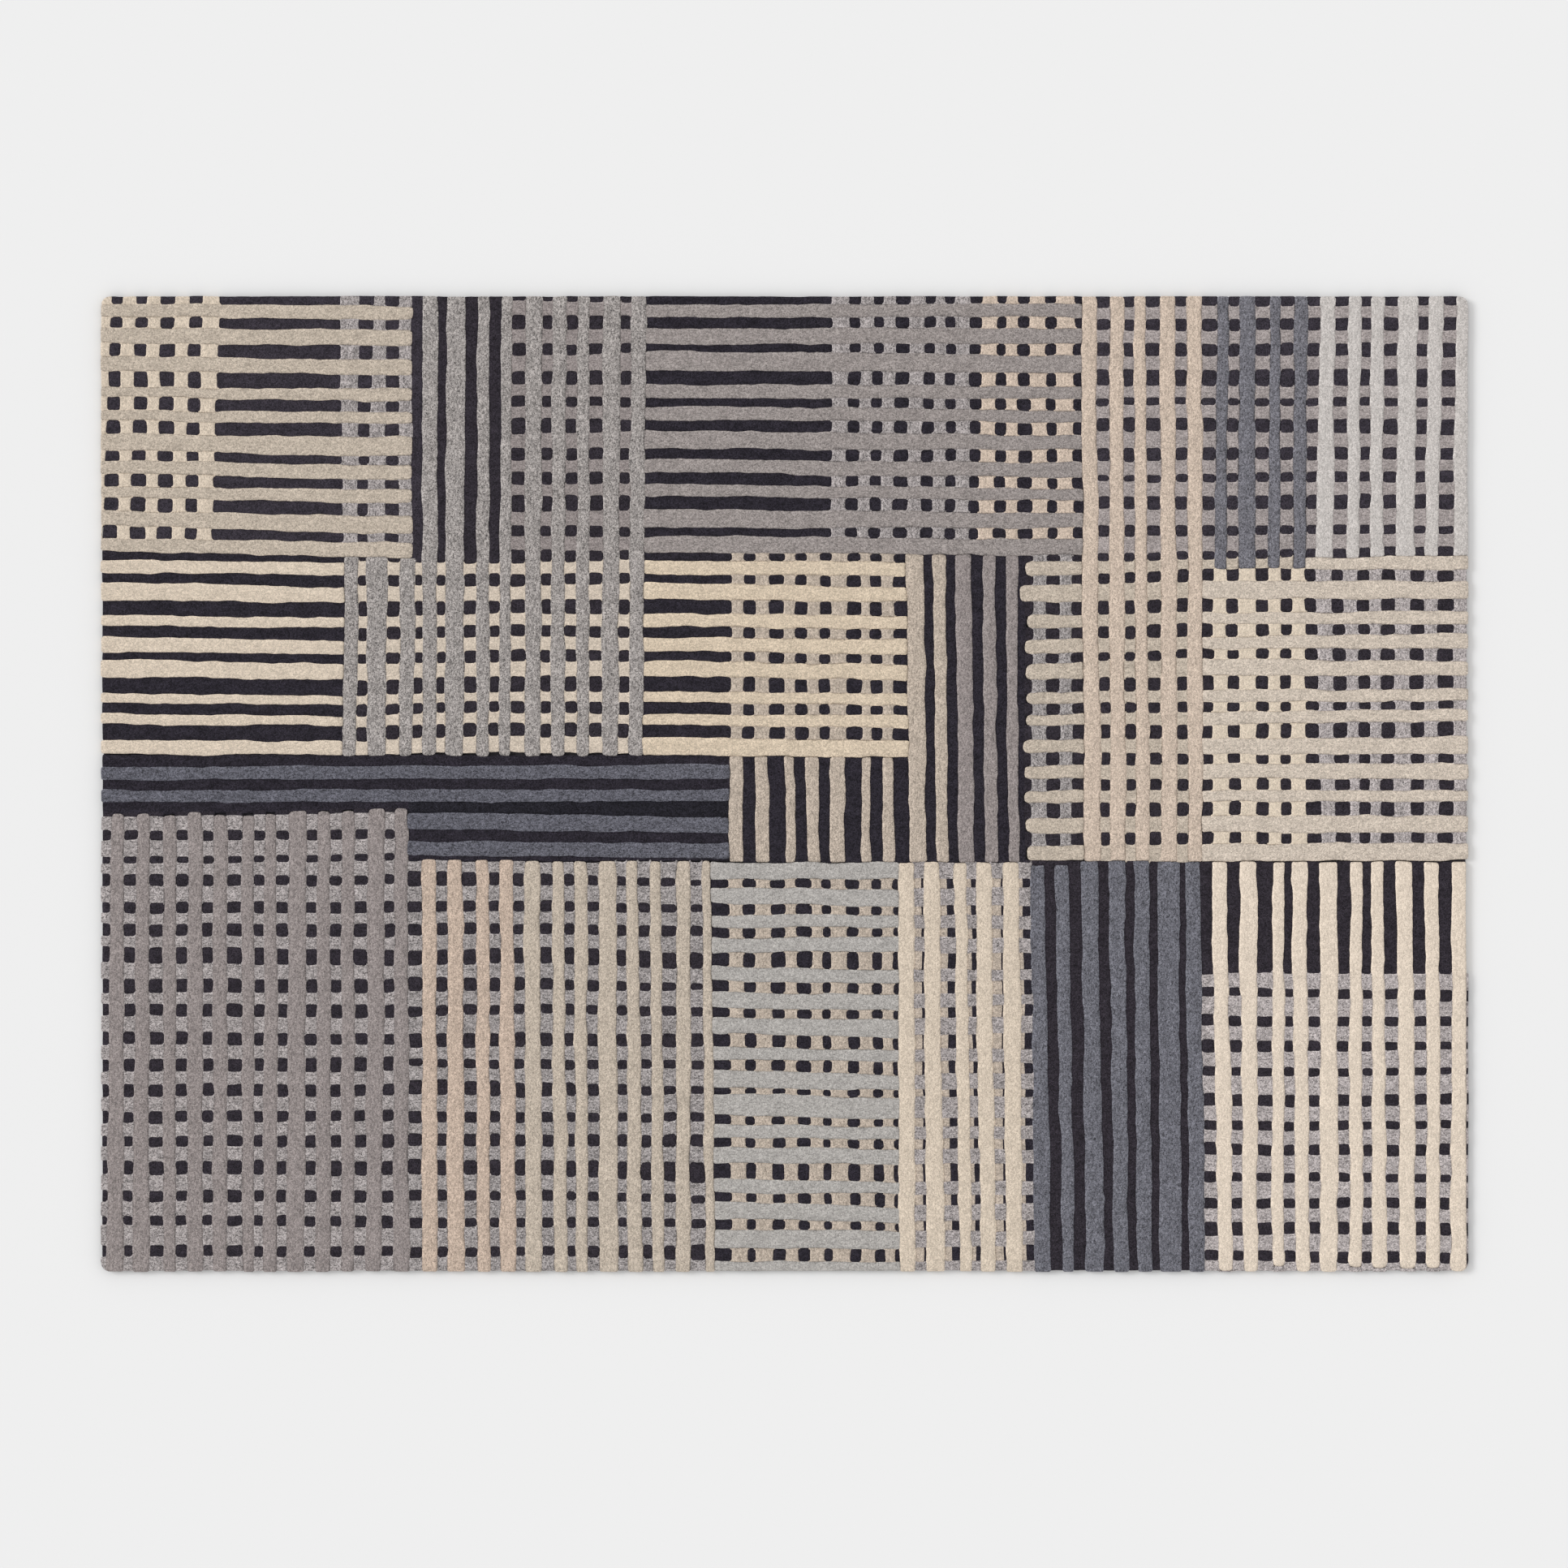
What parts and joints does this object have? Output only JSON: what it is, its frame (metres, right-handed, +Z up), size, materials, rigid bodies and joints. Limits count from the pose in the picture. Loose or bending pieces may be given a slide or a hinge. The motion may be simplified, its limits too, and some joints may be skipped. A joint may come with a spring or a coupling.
{
  "type": "area rug",
  "caption": "Rectangular hand-tufted wool rug with an overlapping ribbon pattern in charcoal, greys, beige and cream; it lies flat on a floor",
  "frame": {"origin": "centre of the rug on the floor, under the backing", "axes": "+X along the rug's long side, +Y across it towards the edge that is uppermost when the pattern is read upright, +Z up out of the pile"},
  "size_m": [2.4, 1.712, 0.0157],
  "materials": {
    "charcoal_wool": "cut pile wool, charcoal heather",
    "beige_wool": "cut pile wool, beige heather",
    "cream_wool": "cut pile wool, cream heather",
    "peach_wool": "cut pile wool, pale peach heather",
    "grey_wool": "cut pile wool, mid grey heather",
    "mottled_wool": "cut pile wool, mottled light grey",
    "taupe_wool": "cut pile wool, taupe heather",
    "slate_wool": "cut pile wool, slate heather",
    "silver_wool": "cut pile wool, silver heather",
    "jute_cloth": "plain woven backing cloth",
    "tufting_cloth": "plain woven tufting cloth",
    "latex": "brushed-on latex coat",
    "webbing": "woven edge tape"
  },
  "bodies": {
    "root": {"backing_cloth": "jute_cloth", "tape_top": "webbing", "tape_bottom": "webbing", "tape_left": "webbing", "tape_right": "webbing", "latex_coat": "latex", "tufting_cloth": "tufting_cloth", "beige_rows_top_left": "beige_wool", "grey_columns": "grey_wool", "taupe_rows_top": "taupe_wool", "peach_columns_right": "peach_wool", "slate_columns_top": "slate_wool", "silver_columns_top": "silver_wool", "cream_rows_left": "cream_wool", "cream_rows_middle": "cream_wool", "beige_columns_middle": "beige_wool", "beige_columns_lane": "beige_wool", "taupe_columns_lane": "taupe_wool", "beige_rows_stub": "beige_wool", "beige_rows_right": "beige_wool", "slate_rows_left": "slate_wool", "taupe_columns_low": "taupe_wool", "peach_columns_low": "peach_wool", "beige_columns_low": "beige_wool", "silver_rows_low": "silver_wool", "cream_columns_low": "cream_wool", "slate_columns_low": "slate_wool", "cream_columns_corner": "cream_wool", "cream_under_top_left": "cream_wool", "grey_under_top_left": "grey_wool", "taupe_under_grey": "taupe_wool", "mist_under_top": "mottled_wool", "cream_under_top": "cream_wool", "taupe_under_right": "taupe_wool", "cream_under_grey": "cream_wool", "beige_under_middle": "beige_wool", "beige_under_right": "beige_wool", "mist_under_stub": "mottled_wool", "cream_under_right": "cream_wool", "mist_under_right": "mottled_wool", "mist_under_left": "mottled_wool", "mist_under_middle": "mottled_wool", "beige_under_silver": "beige_wool", "mist_under_cream": "mottled_wool", "mist_under_corner": "mottled_wool", "mist_edge_corner": "mottled_wool", "ground_top_left": "charcoal_wool", "ground_grey_columns": "charcoal_wool", "ground_top_middle": "charcoal_wool", "ground_top_right": "charcoal_wool", "ground_left_rows": "charcoal_wool", "ground_slate_step": "charcoal_wool", "ground_cream_right": "charcoal_wool", "ground_lane": "charcoal_wool", "ground_right": "charcoal_wool", "ground_low_columns": "charcoal_wool", "ground_silver": "charcoal_wool", "ground_cream_low": "charcoal_wool", "beige_ground_low": "beige_wool", "ground_corner": "charcoal_wool"}
  },
  "joints": []
}
